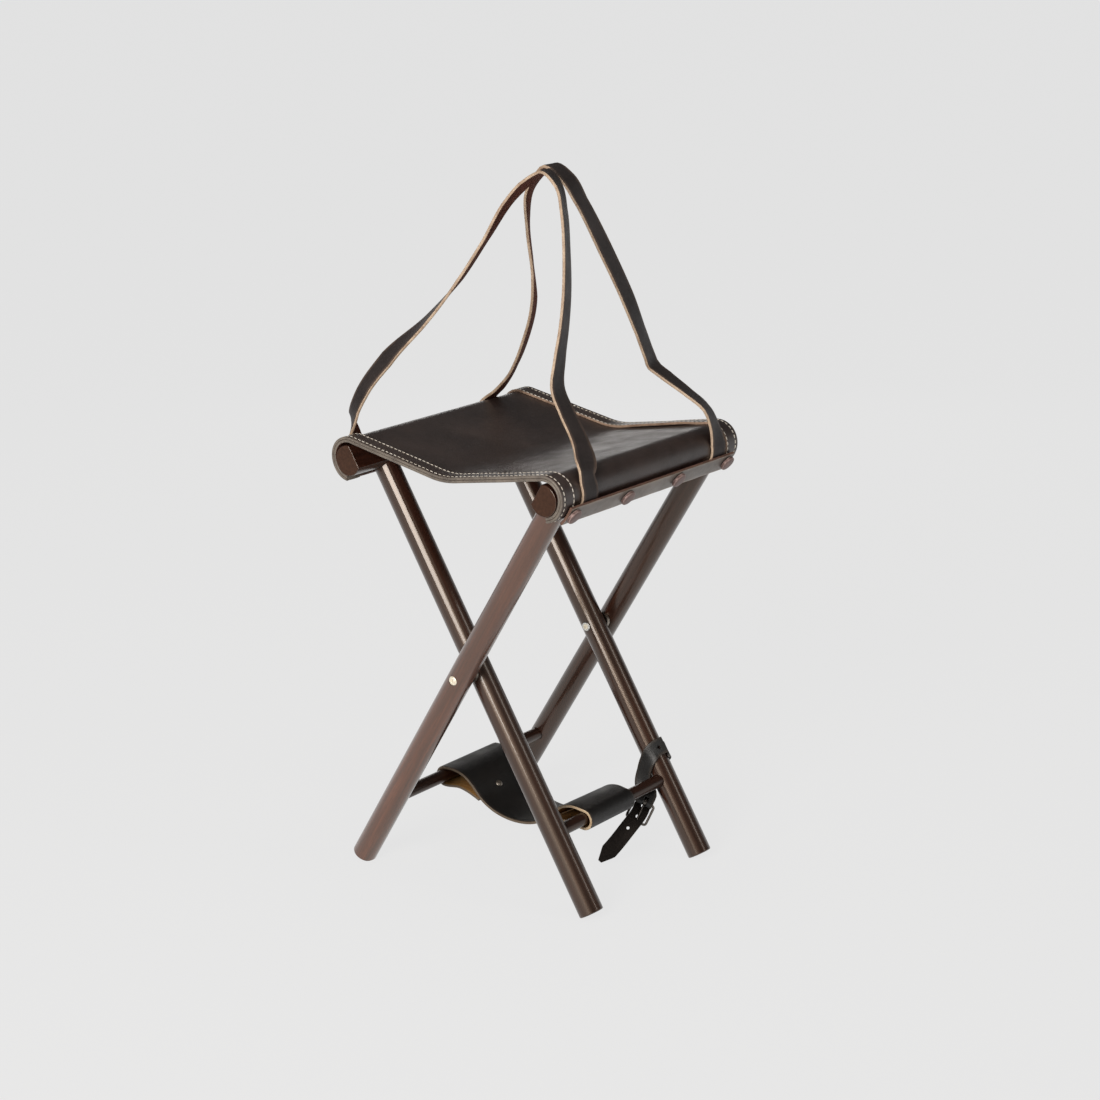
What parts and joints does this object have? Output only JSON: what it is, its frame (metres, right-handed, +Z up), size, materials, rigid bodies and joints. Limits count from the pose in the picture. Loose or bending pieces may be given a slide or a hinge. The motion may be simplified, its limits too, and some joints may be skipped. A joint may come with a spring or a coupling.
{
  "type": "folding hunting stool",
  "caption": "Folding hunting stool: crossed round wooden legs on leg pivots, slung hemmed leather seat, leather carry straps, a foot sling and a buckled closing strap.",
  "frame": {"origin": "on the floor, midway between the feet and under the leg pivots", "axes": "+Z up, +X across the stool towards the outer frame's rail, +Y along the rails towards the rear, front at -Y"},
  "size_m": [0.313, 0.292, 0.7426],
  "materials": {
    "stained_wood": "dark red-brown stain under gloss lacquer",
    "seat_leather": "dark brown waxed hide",
    "strap_leather": "dark brown hide, reddish flesh side",
    "black_leather": "near-black hide",
    "brown_fastener": "satin brown",
    "nickel": "nickel-plated, satin",
    "steel": "zinc-plated, dull"
  },
  "bodies": {
    "outer": {"outer_rail": "stained_wood", "outer_front_leg": "stained_wood", "outer_rear_leg": "stained_wood", "outer_stretcher": "stained_wood", "front_pivot_bolt": "nickel", "front_pivot_nut": "nickel", "front_pivot_washer": "steel", "rear_pivot_bolt": "nickel", "rear_pivot_nut": "nickel", "rear_pivot_washer": "steel", "right_clamp_strip": "strap_leather", "right_clamp_screw_1": "brown_fastener", "right_clamp_screw_2": "brown_fastener", "right_clamp_screw_3": "brown_fastener", "right_clamp_screw_4": "brown_fastener", "seat_leather": "seat_leather", "front_carry_strap": "strap_leather", "rear_carry_strap": "strap_leather", "foot_sling": "black_leather", "sling_rivet_outer": "steel", "sling_rivet_inner": "steel"},
    "inner": {"inner_rail": "stained_wood", "inner_front_leg": "stained_wood", "inner_rear_leg": "stained_wood", "inner_stretcher": "stained_wood", "left_clamp_strip": "strap_leather", "left_clamp_screw_1": "brown_fastener", "left_clamp_screw_2": "brown_fastener", "left_clamp_screw_3": "brown_fastener", "left_clamp_screw_4": "brown_fastener", "closing_strap": "black_leather", "buckle_strap": "black_leather", "buckle_frame": "nickel"},
    "prong": {"buckle_prong": "nickel"}
  },
  "joints": [
    {"name": "fold", "type": "hinge", "parent": "outer", "child": "inner", "pos_m": [0, 0, 0.2366], "axis": [0, 1, 0], "range_deg": [0, 52], "deforming": ["seat_leather", "front_carry_strap", "rear_carry_strap", "foot_sling", "sling_rivet_outer", "sling_rivet_inner"]},
    {"name": "prong_turn", "type": "hinge", "parent": "inner", "child": "prong", "pos_m": [0.09062, 0.06614, 0.0603], "axis": [-0.7704, -0.4557, 0.4459], "range_deg": [0, 75]}
  ]
}
